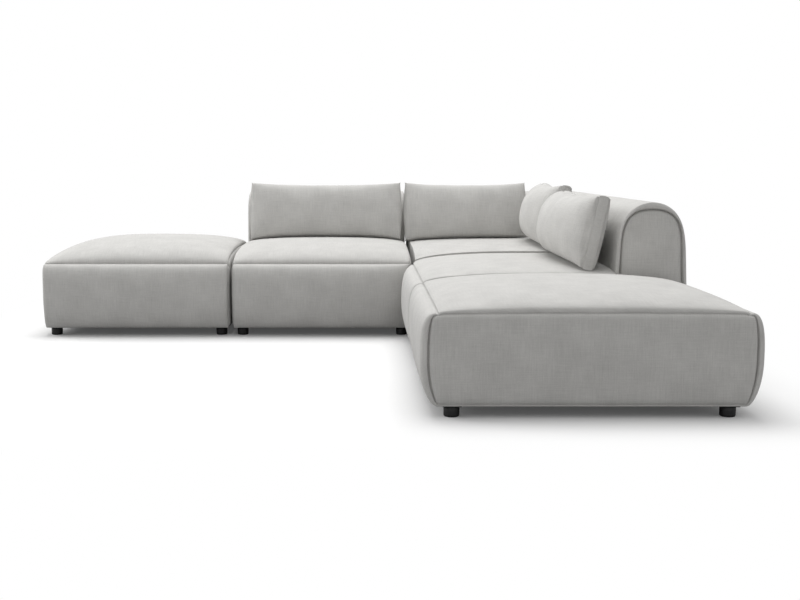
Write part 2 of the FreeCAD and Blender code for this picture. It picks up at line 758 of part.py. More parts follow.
def sketched_clip(name, points, width):
    """Bent plate: a closed outline in its own XZ plane, padded along Y by a width."""
    body = DOC.addObject("PartDesign::Body", name)
    sketch = body.newObject("Sketcher::SketchObject", f"{name}_sketch")
    upright = [plane for plane in body.Origin.OriginFeatures if plane.Role == "XZ_Plane"][0]
    sketch.AttachmentSupport = [(upright, "")]
    sketch.MapMode = "FlatFace"
    for start, end in zip(points, points[1:] + points[:1]):
        sketch.addGeometry(Part.LineSegment(Vector(*start, 0), Vector(*end, 0)), False)
    pad = body.newObject("PartDesign::Pad", f"{name}_pad")
    pad.Profile = sketch
    bind(pad, Length=width)
    pad.Midplane = True
    DOC.recompute()
    return body


def jaw_points():
    """Outline of a jaw that opens towards the joint plane."""
    plate = size.clip_plate
    near = size.clip_setback
    far = near + size.clip_length
    top = size.foot_height
    slot_top = top - plate
    slot_low = slot_top - size.clip_slot
    return [(near, top), (far, top), (far, slot_low - plate), (near, slot_low - plate),
            (near, slot_low), (far - plate, slot_low), (far - plate, slot_top), (near, slot_top)]


def tongue_points():
    """Outline of a tongue that steps down from its frame and reaches past the joint plane."""
    plate = size.clip_slot - 2 * size.clip_air
    near = -size.clip_setback
    far = near - size.clip_length
    top = size.foot_height
    slot_top = top - size.clip_plate - size.clip_air
    return [(far, top), (near, top), (near, slot_top), (size.tongue_reach, slot_top),
            (size.tongue_reach, slot_top - plate), (far, slot_top - plate)]


def clip_at(name, source, across, along, turned):
    """Copy of a connector at its place: across is the joint plane, along runs on it."""
    copy = DOC.addObject("App::Link", name)
    copy.LinkedObject = source
    spot = Vector(along, across, 0) if turned else Vector(across, along, 0)
    copy.Placement = Placement(spot, Rotation(Vector(0, 0, 1), 90 if turned else 0))
    return copy


def add_connectors():
    """Two clips in each joint: tongues on the module that pulls away, jaws on the other."""
    jaw = sketched_clip("jaw", jaw_points(), "clip_width")
    tongue = sketched_clip("tongue", tongue_points(), "clip_width - 2 * clip_side_air")
    spots = (size.clip_position, size.module_depth - size.clip_position)
    joints = (("pouf_left", "seat_left", -size.seat_width, False),
              ("seat_left", "corner", 0.0, False),
              ("seat_right", "corner", 0.0, True),
              ("pouf_right", "seat_right", -size.seat_width, True))
    pieces = {}
    for tongue_side, jaw_side, across, turned in joints:
        for number, along in enumerate(spots):
            for side, source in ((tongue_side, tongue), (jaw_side, jaw)):
                name = f"{side}_{source.Name}_{tongue_side}_{number}"
                pieces.setdefault(side, []).append(clip_at(name, source, across, along, turned))
    for side, clips in pieces.items():
        group = grouped(f"{side}_clips", clips)
        place(group, SHIFT, SHIFT)
        node(group, f"{side}_connectors")


def add_cushion(cushion, module, start, turned):
    """Cover and filling of a loose cushion, leaning against its back."""
    base = module.base
    along_depth = base.square and turned
    level = cushion.seat_level(base, start, along_depth)
    front = cushion.front_seam()
    if turned:
        across_start = start + cushion.across if along_depth else -start
        spot = Vector(front, across_start, level)
    else:
        spot = Vector(start, front, level)
    spot += Vector(corner_of(module)[0], corner_of(module)[1], 0)
    turn = Rotation(Vector(0, 0, 1), -90 if turned else 0)
    lean = Rotation(Vector(1, 0, 0), -size.cushion_lean)
    core = shaped(f"{cushion.name}_core", cushion.form(size.cushion_wall))
    form = shaped(f"{cushion.name}_form", cushion.form())
    cover = cut(f"{cushion.name}_cover_cut", form, core)
    filling = shaped(f"{cushion.name}_filling_form", cushion.form(size.cushion_wall))
    for thing, piece in ((cover, "cover"), (filling, "filling")):
        thing.Placement = Placement(spot, turn.multiply(lean))
        node(thing, f"{cushion.name}_{piece}")


def corner_of(module):
    """Place of a module's own origin."""
    marker = DOC.addObject("Part::Vertex", f"{module.name}_{len(DOC.Objects)}_origin")
    place(marker, module.x, module.y)
    DOC.recompute()
    return marker.Placement.Base


LEFT_ROW_END = "-(seat_width + pouf_width)"
POUF_LEFT = Module(Base("pouf_left", "pouf_width", "pouf_left_crown",
                        "free_edge_rise", "joined_edge_rise"),
                   LEFT_ROW_END, "0", 0)
SEAT_LEFT = Module(Base("seat_left", "seat_width", "seat_left_crown",
                        "joined_edge_rise", "joined_edge_rise", corner_end="high"),
                   "-seat_width", "0", 0, back=True)
CORNER = Module(Base("corner", "module_depth", "corner_crown",
                     "joined_edge_rise", "joined_edge_rise", square=True),
                "0", "0", 0, back=True)
SEAT_RIGHT = Module(Base("seat_right", "seat_width", "seat_right_crown",
                         "joined_edge_rise", "joined_edge_rise", corner_end="low"),
                    "0", "0", -90, back=True)
POUF_RIGHT = Module(Base("pouf_right", "pouf_width", "pouf_right_crown",
                         "joined_edge_rise", "free_edge_rise"),
                    "0", "-seat_width", -90)

for module in (POUF_LEFT, SEAT_LEFT, CORNER, SEAT_RIGHT, POUF_RIGHT):
    module.build()
add_connectors()

side_start = (size.seat_width - size.seat_cushion_width) / 2
left_drop = size.cushion_sag * (size.seat_left_crown - size.joined_edge_rise)
corner_drop = size.cushion_sag * (size.corner_crown - size.joined_edge_rise)
right_drop = size.cushion_sag * (size.seat_right_crown - size.joined_edge_rise)
add_cushion(Cushion("cushion_seat_left", "seat_cushion_width", left_drop, left_drop),
            SEAT_LEFT, side_start, False)
add_cushion(Cushion("cushion_corner_rear", "rear_cushion_width", corner_drop, 0.0),
            CORNER, size.rear_cushion_start, False)
add_cushion(Cushion("cushion_corner_side", "side_cushion_width", 0.0, 0.0),
            CORNER, size.side_cushion_start, True)
add_cushion(Cushion("cushion_seat_right", "seat_cushion_width", right_drop, right_drop),
            SEAT_RIGHT, side_start, True)

DOC.recompute()
for thing in DOC.Objects:
    if "Invalid" in thing.State or "Error" in thing.State:
        raise RuntimeError(f"{thing.Label} failed: {thing.State}")
for piece in NODES:
    if piece.Shape.isNull() or not piece.Shape.isValid():
        raise RuntimeError(f"{piece.Label} has no valid shape")

os.makedirs("parts", exist_ok=True)
for piece in NODES:
    piece.Shape.exportStep(f"parts/{piece.Label}.step")
    print(piece.Label, len(piece.Shape.Solids), round(piece.Shape.Volume))
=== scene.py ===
import math

import bmesh
import bpy
import numpy as np
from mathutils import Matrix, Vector


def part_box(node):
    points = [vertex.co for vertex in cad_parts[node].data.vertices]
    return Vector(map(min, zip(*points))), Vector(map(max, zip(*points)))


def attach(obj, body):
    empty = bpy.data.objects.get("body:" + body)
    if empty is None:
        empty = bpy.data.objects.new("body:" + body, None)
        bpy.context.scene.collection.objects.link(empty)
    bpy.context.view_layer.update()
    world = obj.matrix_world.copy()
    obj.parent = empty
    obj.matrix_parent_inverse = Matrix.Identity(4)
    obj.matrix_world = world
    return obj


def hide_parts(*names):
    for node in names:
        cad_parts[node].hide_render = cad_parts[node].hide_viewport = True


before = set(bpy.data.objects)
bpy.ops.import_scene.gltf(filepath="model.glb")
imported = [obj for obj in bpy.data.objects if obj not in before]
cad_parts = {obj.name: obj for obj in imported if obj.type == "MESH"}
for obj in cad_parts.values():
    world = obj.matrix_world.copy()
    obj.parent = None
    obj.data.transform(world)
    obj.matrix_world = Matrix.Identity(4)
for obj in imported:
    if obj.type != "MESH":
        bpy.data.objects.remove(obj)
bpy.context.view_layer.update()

# Modules, in metres: seam lines, widths and places are those of the solids
SEAM = 0.338
LOW = 0.038
DEPTH = 0.980
SEAT_WIDTH = 0.850
POUF_WIDTH = 0.880
# Joint planes that meet at the inner corner of the sofa
SHIFT = 0.343
# Set-in side panels stand this far inside the joint planes
END = 0.012

# Swell of the upholstery
SIDE_CROWN = 0.009
END_BULGE = 0.056
FULL_BULGE = 0.062
JOINED_RISE = 0.050
FREE_RISE = 0.005
# Side edges of the tops on both sides of the joint between the right seat and its pouf
RIGHT_SEAT_RISE = 0.036
RIGHT_POUF_RISE = 0.028
# Front swell where the two rows meet, and what it gains towards the middle of the seat
CORNER_BULGE = 0.008
CORNER_GAIN = 0.054
CORNER_GAIN_POWER = 6

# Backs
BACK_MIDDLE = 0.893
BACK_HALF = 0.143
BACK_LOW = 0.310
BACK_TOP = 0.654

# Roundness of the forms: 2 is an ellipse, more is squarer
FRONT_TOP_POWER = 3.0
FRONT_LOW_POWER = 2.0
DEPTH_POWER = 2.3
ACROSS_POWER = 2.4

# Seams. On top of a module, a panel's groove keeps only a share of its width and depth
SEAM_DIP = 0.003
GROOVE = 0.0065
GROOVE_DEPTH = 0.016
TOP_GROOVE_SHARE = 0.25
TOP_DEPTH_SHARE = 0.15
ROLL = 0.022
BAND_ROLL = 0.022
TOP_ROLL = 0.004


# Curves and loops

def squircle(place, power):
    """1 in the middle and 0 at the ends of the span from -1 to 1."""
    return (1 - np.clip(np.abs(place), 0, 1) ** power) ** (1 / power)


def turned_power(angle, power):
    """Sine of an angle, pushed outwards so that points crowd where the form turns."""
    sine = np.sin(angle)
    return np.sign(sine) * np.abs(sine) ** (2 / power)


def eased(count):
    """Shares from 0 to 1 that crowd at both ends."""
    return (1 - np.cos(np.linspace(0, math.pi, count))) / 2


def smoothed(values, passes):
    """Values round a closed loop, evened out with their neighbours."""
    for _ in range(passes):
        values = values * 0.5 + (np.roll(values, 1, 0) + np.roll(values, -1, 0)) * 0.25
    return values


def waves(points, length, seed, count=7):
    """Soft unevenness between about -1 and 1, with a given wavelength."""
    source = np.random.default_rng(seed)
    total = np.zeros(len(points))
    for _ in range(count):
        direction = source.normal(size=3)
        direction /= np.linalg.norm(direction)
        pitch = length * source.uniform(0.7, 1.6)
        total += np.sin(points @ direction * (2 * math.pi / pitch) + source.uniform(0, 6.28))
    return total / math.sqrt(count) / 1.4


def normals_of(loop):
    """Outward normals of a closed loop in a plane, given anticlockwise or clockwise."""
    ahead = np.roll(loop, -1, 0) - np.roll(loop, 1, 0)
    normal = np.stack([ahead[:, 1], -ahead[:, 0]], 1)
    normal /= np.maximum(np.linalg.norm(normal, axis=1), 1e-9)[:, None]
    area = np.sum(loop[:, 0] * np.roll(loop[:, 1], -1) - np.roll(loop[:, 0], -1) * loop[:, 1])
    return normal if area > 0 else -normal


class Inward:
    """Moves a closed loop towards the middle line of the shape that it bounds."""

    def __init__(self, loop):
        self.loop = loop
        low, high = loop.min(0), loop.max(0)
        middle = (low + high) / 2
        half = (high - low) / 2
        long = int(half[1] > half[0])
        reach = max(half[long] - half[1 - long] * 0.9, 0.0)
        self.spine = np.empty_like(loop)
        self.spine[:, 1 - long] = middle[1 - long]
        self.spine[:, long] = middle[long] + np.clip(loop[:, long] - middle[long], -reach, reach)
        away = loop - self.spine
        self.away = away / np.maximum(np.linalg.norm(away, axis=1), 1e-9)[:, None]
        facing = smoothed(np.sum(self.away * normals_of(loop), 1), 6)
        self.facing = np.maximum(facing, 0.62)

    def inset(self, distance):
        """The loop, a distance in from its edge."""
        return self.loop - self.away * (distance / self.facing)[:, None]

    def upright(self):
        """1 where the loop runs up the front or the rear, 0 on top and underneath."""
        return smoothed(np.abs(normals_of(self.loop)[:, 0]) ** 1.5, 4)

    def band_roll(self):
        """Radius at which a band's edge turns in: wide up the front and rear, small on top."""
        return TOP_ROLL + (BAND_ROLL - TOP_ROLL) * self.upright()

    def part(self, start, share):
        """From the loop inset by start, a share of the way to the middle line."""
        edge = self.inset(start)
        return edge + (self.spine - edge) * share


# Meshes

def new_piece(name, points, faces):
    """Object with a mesh of its own, in the scene."""
    mesh = bpy.data.meshes.new(name)
    mesh.from_pydata(points, [], faces)
    piece = bpy.data.objects.new(name, mesh)
    bpy.context.scene.collection.objects.link(piece)
    return piece


def tube_faces(rows, count, start=0):
    """Faces between loops of count points that follow one another."""
    faces = []
    for row in range(rows - 1):
        low = start + row * count
        high = low + count
        for column in range(count):
            after = (column + 1) % count
            faces.append((low + column, low + after, high + after, high + column))
    return faces


def skin(name, rings, uvs):
    """Closed mesh through a stack of closed loops with equal numbers of points."""
    piece = new_piece(name, np.concatenate(rings).tolist(), tube_faces(len(rings), len(rings[0])))
    corners = []
    for first, second in uvs:
        corners.append(np.stack([first[:-1], first[1:], second[1:], second[:-1]], 1))
    layer = piece.data.uv_layers.new(name="UVMap")
    layer.data.foreach_set("uv", np.concatenate(corners).astype(np.float32).ravel())
    weld(piece)
    return piece


def weld(piece):
    """Join points that coincide, turn faces outwards and shade smoothly."""
    form = bmesh.new()
    form.from_mesh(piece.data)
    bmesh.ops.remove_doubles(form, verts=form.verts, dist=0.00002)
    bmesh.ops.dissolve_degenerate(form, edges=form.edges, dist=0.00001)
    bmesh.ops.recalc_face_normals(form, faces=form.faces)
    form.to_mesh(piece.data)
    form.free()
    piece.data.shade_smooth()


def closed_uv(across, along):
    """Cloth coordinates of a closed loop, with its first point repeated at the end."""
    uv = np.stack([across, along], 1)
    return np.concatenate([uv, uv[:1]])


def wrap_uv(shift, loop):
    """Cloth coordinates of a loop that runs round a piece: place along, length round."""
    steps = np.linalg.norm(np.roll(loop, -1, 0) - loop, axis=1)
    run = np.concatenate([[0.0], np.cumsum(steps)])
    return np.stack([np.full(len(run), shift), run], 1)


def swapped(ring):
    """Points with their two level directions exchanged."""
    return ring[:, (1, 0, 2)]


class Place:
    """Where a module stands and how it is turned."""

    def __init__(self, x, y, turned):
        self.x, self.y, self.turned = x, y, turned

    def put(self, points):
        """From the module's own frame to the sofa's."""
        x, y, z = points[:, 0], points[:, 1], points[:, 2]
        if self.turned:
            return np.stack([self.x + y, self.y - x, z], 1)
        return np.stack([self.x + x, self.y + y, z], 1)


# Set-in panels

# Loops from the seam groove to the panel: distance in, and share of the panel's swell
PANEL_EDGE = ((0.0012, -0.1), (0.004, 0.35), (0.009, 0.7), (0.015, 0.9), (ROLL, 1.0))
# Loops across the panel: share of the way to its middle line
PANEL_STEPS = (0.12, 0.25, 0.4, 0.55, 0.7, 0.85, 1.0)
# Two loops stand in the groove itself
PANEL_LOOPS = 2 + len(PANEL_EDGE) + len(PANEL_STEPS)


def lift_ring(loop, x):
    """Loop in a plane across the row, as points in the module's own frame."""
    return np.stack([np.full(len(loop), x) if np.isscalar(x) else x, loop[:, 0], loop[:, 1]], 1)


def rim_inset(distance, radius):
    """How far the band is drawn in, near its edge, by a quarter round."""
    near = np.clip(1 - distance / radius, 0.0, 1.0)
    return radius * (1 - np.sqrt(1 - near ** 2))


def panel_rings(outline, x, side, crown):
    """Loops from a band's rim through the seam groove to the middle of the set-in panel."""
    inward = Inward(outline)
    roll = inward.band_roll()
    low, high = outline.min(0), outline.max(0)
    middle, half = (low + high) / 2, (high - low) / 2
    upright = inward.upright()
    edge = roll + GROOVE * (TOP_GROOVE_SHARE + (1 - TOP_GROOVE_SHARE) * upright)
    depth = GROOVE_DEPTH * (TOP_DEPTH_SHARE + (1 - TOP_DEPTH_SHARE) * upright)

    def ring(inset, height, share=0.0):
        loop = inward.inset(inset)
        loop = loop + (inward.spine - loop) * share
        place = (loop - middle) / half
        dome = (1 - place[:, 0] ** 2) * (1 - place[:, 1] ** 2)
        return lift_ring(loop, x + side * (height * (0.8 + 0.2 * dome)))

    rings = [ring(roll + 0.0008, -depth), ring(edge, -depth * 0.9)]
    rings += [ring(edge + inset, crown * share) for inset, share in PANEL_EDGE]
    rings += [ring(edge + ROLL, crown, share) for share in PANEL_STEPS]
    return rings


def ring_uvs(rings):
    """Cloth coordinates of each strip between two loops: flat on panels, rolled round the band."""
    uvs = []
    for row, pair in enumerate(zip(rings, rings[1:])):
        if row < PANEL_LOOPS - 1 or row >= len(rings) - PANEL_LOOPS:
            uvs.append([closed_uv(ring[:, 1], ring[:, 2]) for ring in pair])
        else:
            uvs.append([wrap_uv(ring[0, 0], ring[:, 1:]) for ring in pair])
    return uvs


# Seats

FRONT_ANGLES = np.linspace(-math.pi / 2, math.pi / 2, 45)
TOP_ANGLES = np.linspace(-math.pi / 2, math.pi / 2, 75)
# Shares of the width at which the rounded edge of a band is drawn
RIM_STEPS = np.array([0.0, 0.0006, 0.0016, 0.003, 0.005, 0.008, 0.012, 0.017, 0.023, 0.03, 0.038])
SPAN_STEPS = np.concatenate([RIM_STEPS, np.linspace(0.05, 0.95, 34), 1 - RIM_STEPS[::-1]])


class Seat:
    """Padded base of a module: band over front, top and rear, with a set-in panel each side."""

    def __init__(self, name, width, crown, low_rise, high_rise, corner_end=None):
        self.name = name
        self.width = width
        self.crown = crown
        self.low_rise = low_rise
        self.high_rise = high_rise
        self.corner_end = corner_end

    def rise(self, x):
        """Height of the top above the seam in the middle of its depth."""
        middle = self.width / 2
        share = squircle((x - middle) / (middle - END), ACROSS_POWER)
        edge = np.where(x < middle, self.low_rise, self.high_rise)
        return edge + (self.crown - edge) * share

    def top(self, x, y):
        """Height of the top at a place."""
        return SEAM + self.rise(x) * squircle((y - DEPTH / 2) / (DEPTH / 2), DEPTH_POWER)

    def bulge(self, x, front):
        """Swell of the front or the rear at a place along the row."""
        middle = self.width / 2
        plain = END_BULGE + (FULL_BULGE - END_BULGE) * (1 - ((x - middle) / middle) ** 2)
        if not (front and self.corner_end):
            return plain
        run = x if self.corner_end == "low" else self.width - x
        share = 1 - (1 - np.clip(run / middle, 0, 1)) ** CORNER_GAIN_POWER
        return np.where(run < middle, CORNER_BULGE + CORNER_GAIN * share, plain)

    def section(self, x, seam_dip):
        """Closed section at a place along the row, from the front foot over the top."""
        over = FRONT_ANGLES > 0
        level = np.where(over, turned_power(FRONT_ANGLES, FRONT_TOP_POWER),
                         turned_power(FRONT_ANGLES, FRONT_LOW_POWER))
        power = np.where(over, FRONT_TOP_POWER, FRONT_LOW_POWER)
        swell = np.abs(np.cos(FRONT_ANGLES)) ** (2 / power)
        z = LOW + (level + 1) / 2 * (SEAM - LOW)
        front = np.stack([-self.bulge(x, True) * swell, z], 1)
        rear = np.stack([DEPTH + self.bulge(x, False) * swell, z], 1)[::-1]
        place = turned_power(TOP_ANGLES, DEPTH_POWER)
        raised = np.abs(np.cos(TOP_ANGLES)) ** (2 / DEPTH_POWER)
        top = np.stack([(place + 1) / 2 * DEPTH, SEAM + self.rise(x) * raised], 1)
        front_seam = np.array([[seam_dip, SEAM - seam_dip]])
        rear_seam = np.array([[DEPTH - seam_dip, SEAM - seam_dip]])
        low = np.linspace(DEPTH, 0, 22)[1:-1]
        bottom = np.stack([low, np.full(len(low), LOW)], 1)
        return np.concatenate([front[:-1], front_seam, top[1:-1], rear_seam, rear[1:], bottom])

    def panel(self, x, side):
        """Loops of the set-in panel at one end."""
        return panel_rings(self.section(x, 0.0), x, side, SIDE_CROWN)

    def build(self, place):
        low_end, high_end = END, self.width - END
        span = high_end - low_end
        rings = self.panel(low_end, -1)[::-1]
        for share in SPAN_STEPS:
            x = low_end + share * span
            inward = Inward(self.section(x, SEAM_DIP))
            roll = rim_inset(min(share, 1 - share) * span, inward.band_roll())
            rings.append(lift_ring(inward.inset(roll), x))
        rings += self.panel(high_end, 1)
        return skin(f"{self.name}_upholstery", [place.put(ring) for ring in rings], ring_uvs(rings))


class CornerSeat:
    """Padded base of the corner: a band round its two outer sides and a crowned top."""

    crown = 0.079
    # Rounding of the outer corner, and points along each side
    radius = 0.060
    side_points = 40
    # Loops nearer than this to a joined side follow the top's edge
    joined_margin = 0.05
    top_steps = np.concatenate([[0.004, 0.012, 0.025, 0.045], np.linspace(0.07, 1, 40)])
    bottom_steps = (1.0, 0.3)

    def top(self, x, y):
        """Height of the top, which falls towards the inner corner of the sofa."""
        reach = DEPTH / 2
        near = np.clip(np.hypot(x, y) / reach, 0, 1)
        edge = JOINED_RISE * squircle(1 - near, DEPTH_POWER)
        across = squircle((x - reach) / reach, ACROSS_POWER)
        along = squircle((y - reach) / reach, ACROSS_POWER)
        return SEAM + edge + (self.crown - JOINED_RISE) * across * along

    def plan(self, swell):
        """Level loop: two flat joined sides and two outer sides that swell."""
        outer = DEPTH + swell
        straight = outer - self.radius
        side = END + (straight - END) * eased(self.side_points)
        joined, far = np.full(self.side_points, END), np.full(self.side_points, outer)
        turn = np.linspace(0, math.pi / 2, 12)[1:-1]
        corner = np.stack([straight + self.radius * np.cos(turn),
                           straight + self.radius * np.sin(turn)], 1)
        front = np.stack([side, joined], 1)
        right = np.stack([far, side], 1)
        rear = np.stack([side[::-1], far], 1)
        left = np.stack([joined, side[::-1]], 1)
        return np.concatenate([front, right[1:], corner, rear, left[1:-1]])

    def side_ring(self, angle):
        """Loop round the sides, at a height that the angle of the front's curve gives."""
        power = FRONT_TOP_POWER if angle > 0 else FRONT_LOW_POWER
        share = (turned_power(np.array([angle]), power)[0] + 1) / 2
        loop = self.plan(FULL_BULGE * abs(math.cos(angle)) ** (2 / power))
        joined = (loop[:, 0] < self.joined_margin) | (loop[:, 1] < self.joined_margin)
        edge = self.top(loop[:, 0], loop[:, 1]) - SEAM
        z = LOW + share * (SEAM - LOW) + np.where(joined, edge * share, 0.0)
        return np.stack([loop[:, 0], loop[:, 1], z], 1)

    def build(self, place):
        inward = Inward(self.plan(0.0))
        rings = []
        for share in self.bottom_steps:
            loop = inward.part(0.0, share)
            rings.append(np.stack([loop[:, 0], loop[:, 1], np.full(len(loop), LOW)], 1))
        rings += [self.side_ring(angle) for angle in FRONT_ANGLES]
        for share in self.top_steps:
            loop = inward.part(0.0, share)
            rings.append(np.stack([loop[:, 0], loop[:, 1], self.top(loop[:, 0], loop[:, 1])], 1))
        uvs = []
        for row, pair in enumerate(zip(rings, rings[1:])):
            if 1 < row < len(FRONT_ANGLES) + 1:
                uvs.append([np.stack([wrap_uv(0.0, ring[:, :2])[:, 1],
                                      np.append(ring[:, 2], ring[0, 2])], 1) for ring in pair])
            else:
                uvs.append([closed_uv(ring[:, 0], ring[:, 1]) for ring in pair])
        return skin("corner_upholstery", [place.put(ring) for ring in rings], uvs)


# Backs

# The end panel's outline, inside the band's: narrower, lower and squarer
PANEL_SIDE_GAP = 0.014
PANEL_TOP_GAP = 0.025
# Loops of the end: share of the way from the band to the panel, and how far they stand out
BACK_RIM = ((0.45, 0.0035), (0.85, 0.002))
# Distance in from the panel's outline, and how far the loop stands out: groove, then rolled edge
BACK_PANEL_EDGE = ((0.0, -0.003), (0.001, -0.017), (0.006, -0.017), (0.0068, -0.008),
                   (0.010, -0.003), (0.015, -0.001), (0.024, 0.001))
BACK_EDGE_ROLL = 0.006
# Distances from an end at which a back's rounded edge is drawn
BACK_RIM_STEPS = (0.0, 0.0008, 0.0025, 0.005, 0.009, 0.015, 0.03)


def back_loop(half=BACK_HALF, top=BACK_TOP, power=4.4, roundness=1.96):
    """Section of a back in depth and height: nearly upright sides under an arch."""
    share = np.concatenate([np.linspace(0, 0.6, 16)[:-1],
                            0.6 + 0.4 * np.sin(np.linspace(0, math.pi / 2, 28))])
    reach = half * (1 - share ** power) ** (1 / roundness)
    reach = reach * (1 - 0.045 * np.sin(math.pi * share))
    z = BACK_LOW + share * (top - BACK_LOW)
    front = np.stack([BACK_MIDDLE - reach, z], 1)
    rear = np.stack([BACK_MIDDLE + reach, z], 1)[::-1]
    low = np.linspace(BACK_MIDDLE + half, BACK_MIDDLE - half, 12)[1:-1]
    bottom = np.stack([low, np.full(len(low), BACK_LOW)], 1)
    return np.concatenate([front[:-1], rear, bottom])


def back_panel(outline, x, side):
    """Loops of a back's end: a proud rim, a seam groove and a flat panel with a rolled edge."""
    edge = back_loop(BACK_HALF - PANEL_SIDE_GAP, BACK_TOP - PANEL_TOP_GAP, 6.0, 2.3)
    outer = Inward(outline).inset(BACK_EDGE_ROLL)
    inward = Inward(edge)
    start, proud = BACK_PANEL_EDGE[-1]
    rings = [lift_ring(outer + (edge - outer) * share, x + side * depth) for share, depth in BACK_RIM]
    rings += [lift_ring(inward.inset(inset), x + side * depth) for inset, depth in BACK_PANEL_EDGE]
    for share in PANEL_STEPS:
        swell = proud + 0.003 * math.sin(share * math.pi / 2)
        rings.append(lift_ring(inward.part(start, share), x + side * swell))
    return rings


def mitre_rings(outline, x):
    """Loops from the last plain one, at x, to the mitre between the corner's two backs."""
    inward = Inward(outline)
    last = outline[:, 0] - 0.001
    rings = [lift_ring(outline, x + (last - x) * share) for share in (0.35, 0.7, 0.9, 0.97)]
    rings.append(lift_ring(inward.inset(0.003), last - 0.0008))
    for share in (0.1, 0.5, 1.0):
        loop = inward.part(0.003, share)
        rings.append(lift_ring(loop, loop[:, 0] - 0.005))
    return rings


def build_back(name, place, width, mitred=False, mirrored=False):
    """Padded back of a module: a band over it, and an end panel or a mitre at each end."""
    outline = back_loop()
    inward = Inward(outline)
    low_end, high_end = END, width - END
    places = [low_end + step for step in BACK_RIM_STEPS]
    if mitred:
        places += list(np.linspace(low_end + 0.06, BACK_MIDDLE - BACK_HALF - 0.08, 24))
    else:
        places += list(np.linspace(low_end + 0.06, high_end - 0.06, 30))
        places += [high_end - step for step in BACK_RIM_STEPS[::-1]]
    rings = back_panel(outline, low_end, -1)[::-1]
    for x in places:
        nearest = x - low_end if mitred else min(x - low_end, high_end - x)
        rings.append(lift_ring(inward.inset(rim_inset(nearest, BACK_EDGE_ROLL)), x))
    rings += mitre_rings(outline, places[-1]) if mitred else back_panel(outline, high_end, 1)
    uvs = ring_uvs(rings)
    if mirrored:
        rings = [swapped(ring) for ring in rings]
    return skin(name, [place.put(ring) for ring in rings], uvs)


# Loose back cushions

# Shares of the way from a cushion's seam to its middle, and across its side strip
FACE_STEPS = (0.0, 0.012, 0.03, 0.06, 0.1, 0.15, 0.21, 0.28, 0.36, 0.45, 0.55, 0.66, 0.78, 0.9, 1.0)
STRIP_STEPS = (0.06, 0.14, 0.3, 0.5, 0.7, 0.86, 0.94)
CUSHION_POWER = 2.1
CUSHION_HEIGHT_POWER = 2.3


class LooseCushion:
    """Boxed cushion with a crowned front and rear, leaning against its back."""

    front = 0.629
    lean = math.radians(12)
    height = 0.270
    border = 0.044
    rear_fill = 0.042
    # Top corners stand up, the base sags and the ends draw in
    ear = 0.014
    sag = 0.004
    pull = 0.010
    seat_air = 0.0125
    # Seam between a face and the strip, and swell of the strip
    seam_inset = 0.0015
    groove_inset = 0.0035
    groove_depth = 0.0016
    strip_swell = 0.0035

    def __init__(self, name, low_x, high_x, level, front_fill, put, seat_top, low_power=CUSHION_POWER):
        self.name = name
        self.low_x, self.high_x = low_x, high_x
        self.level = level
        self.front_fill = front_fill
        self.put = put
        self.seat_top = seat_top
        # Fullness of the front towards the low end; the other end has CUSHION_POWER
        self.low_power = low_power

    def outline(self):
        """Seam loop in width and height: pointed top corners and a base that follows the seat."""
        across, upward = eased(64), eased(34)
        x = self.low_x + (self.high_x - self.low_x) * across
        rest = self.seat_top(x, np.full(len(x), self.front + self.border))
        centred = 2 * across - 1
        base = (rest - self.level) / math.cos(self.lean) + self.seat_air
        base = base - self.sag * (1 - centred ** 2)
        top = self.height + self.ear * np.abs(centred) ** 2.6
        bow = self.pull * np.sin(upward * math.pi) - self.pull * 0.4
        self.low_edge, self.high_edge = np.stack([x, base], 1), np.stack([x, top], 1)
        high_side = np.stack([self.high_x + bow, base[-1] + (top[-1] - base[-1]) * upward], 1)
        low_side = np.stack([self.low_x - bow, base[0] + (top[0] - base[0]) * upward], 1)
        loop = np.concatenate([self.low_edge[:-1], high_side[:-1],
                               self.high_edge[::-1][:-1], low_side[::-1][:-1]])
        return smoothed(loop, 2)

    def lean_back(self, x, depth, height):
        """From the cushion's own directions to the module's."""
        y = self.front + depth * math.cos(self.lean) + height * math.sin(self.lean)
        z = self.level - depth * math.sin(self.lean) + height * math.cos(self.lean)
        return np.stack([x, y, z], 1)

    def fill(self, loop, amount):
        """Swell of a face at places on it, none along its seam."""
        across = (loop[:, 0] - self.low_x) / (self.high_x - self.low_x) * 2 - 1
        low = np.interp(loop[:, 0], self.low_edge[:, 0], self.low_edge[:, 1])
        high = np.interp(loop[:, 0], self.high_edge[:, 0], self.high_edge[:, 1])
        upward = (loop[:, 1] - low) / np.maximum(high - low, 0.01) * 2 - 1
        ends = np.where(across < 0, squircle(across, self.low_power), squircle(across, CUSHION_POWER))
        return amount * ends * squircle(upward, CUSHION_HEIGHT_POWER)

    def layers(self):
        """Loops from the front's middle to the rear's, with depth, and place across the strip."""
        inward = Inward(self.outline())
        groove = inward.inset(self.groove_inset)
        faces = [inward.part(self.seam_inset, share) for share in FACE_STEPS]
        layers = [(loop, -self.fill(loop, self.front_fill), None) for loop in faces[::-1]]
        layers.append((groove, self.groove_depth, 0.0))
        for share in STRIP_STEPS:
            loop = inward.inset(-self.strip_swell * math.sin(share * math.pi))
            layers.append((loop, self.border * share, self.border * share))
        layers.append((groove, self.border - self.groove_depth, self.border))
        layers += [(loop, self.border + self.fill(loop, self.rear_fill), None) for loop in faces]
        return layers

    def build(self):
        layers = self.layers()
        rings = [self.lean_back(loop[:, 0], depth, loop[:, 1]) for loop, depth, _ in layers]
        uvs = []
        for pair in zip(layers, layers[1:]):
            if None in (pair[0][2], pair[1][2]):
                uvs.append([closed_uv(loop[:, 0], loop[:, 1]) for loop, _, _ in pair])
            else:
                uvs.append([wrap_uv(0.0, loop)[:, ::-1] + np.array([0.0, across])
                            for loop, _, across in pair])
        placed = [self.put(pucker(ring, self.name)) for ring in rings]
        return skin(f"{self.name}_boxed", placed, uvs)


